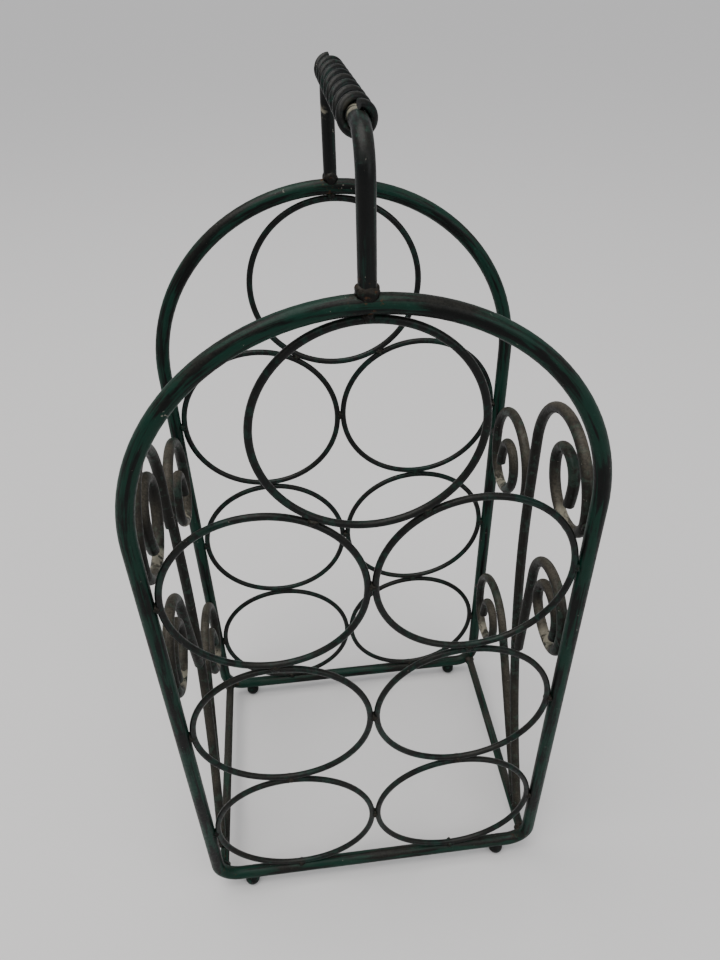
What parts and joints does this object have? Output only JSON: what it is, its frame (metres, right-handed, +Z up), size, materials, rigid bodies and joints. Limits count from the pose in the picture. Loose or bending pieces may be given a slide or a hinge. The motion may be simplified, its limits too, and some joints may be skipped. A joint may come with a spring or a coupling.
{
  "type": "wine rack",
  "caption": "Arched wine rack of painted metal rod, with hoops of bottle rings, scrollwork sides, ball feet and a wire-wound carrying handle.",
  "frame": {"origin": "on the surface that the rack stands on, in the middle of its footprint", "axes": "+Z up, -Y towards the front hoop, +X to the right as seen from the front; bottles lie along Y and the handle runs along Y"},
  "size_m": [0.2166, 0.167, 0.471],
  "materials": {
    "hoop_paint": "dark green paint rubbed with black, satin, worn at the corners",
    "ring_paint": "dark green-black paint, satin",
    "scroll_paint": "green-black paint, dusty brown-grey on top",
    "handle_paint": "near-black green paint, worn where it is held",
    "weld_paint": "painted weld beads, lumpy, with spots of rust"
  },
  "bodies": {
    "root": {"front_hoop": "hoop_paint", "front_ring_row_1_left": "ring_paint", "front_ring_row_1_right": "ring_paint", "front_ring_row_2_left": "ring_paint", "front_ring_row_2_right": "ring_paint", "front_ring_row_3_left": "ring_paint", "front_ring_row_3_right": "ring_paint", "front_ring_top": "ring_paint", "front_ring_welds": "weld_paint", "front_left_foot": "hoop_paint", "front_right_foot": "hoop_paint", "back_hoop": "hoop_paint", "back_ring_row_1_left": "ring_paint", "back_ring_row_1_right": "ring_paint", "back_ring_row_2_left": "ring_paint", "back_ring_row_2_right": "ring_paint", "back_ring_row_3_left": "ring_paint", "back_ring_row_3_right": "ring_paint", "back_ring_top": "ring_paint", "back_ring_welds": "weld_paint", "back_left_foot": "hoop_paint", "back_right_foot": "hoop_paint", "left_base_rail": "hoop_paint", "left_stem_scroll": "scroll_paint", "left_lower_front_scroll": "scroll_paint", "left_lower_back_scroll": "scroll_paint", "left_scroll_welds": "weld_paint", "right_base_rail": "hoop_paint", "right_stem_scroll": "scroll_paint", "right_lower_front_scroll": "scroll_paint", "right_lower_back_scroll": "scroll_paint", "right_scroll_welds": "weld_paint", "left_upper_front_scroll": "scroll_paint", "right_upper_back_scroll": "scroll_paint", "rail_welds": "weld_paint", "handle_rod": "handle_paint", "grip_coil": "handle_paint", "handle_welds": "weld_paint"}
  },
  "joints": []
}
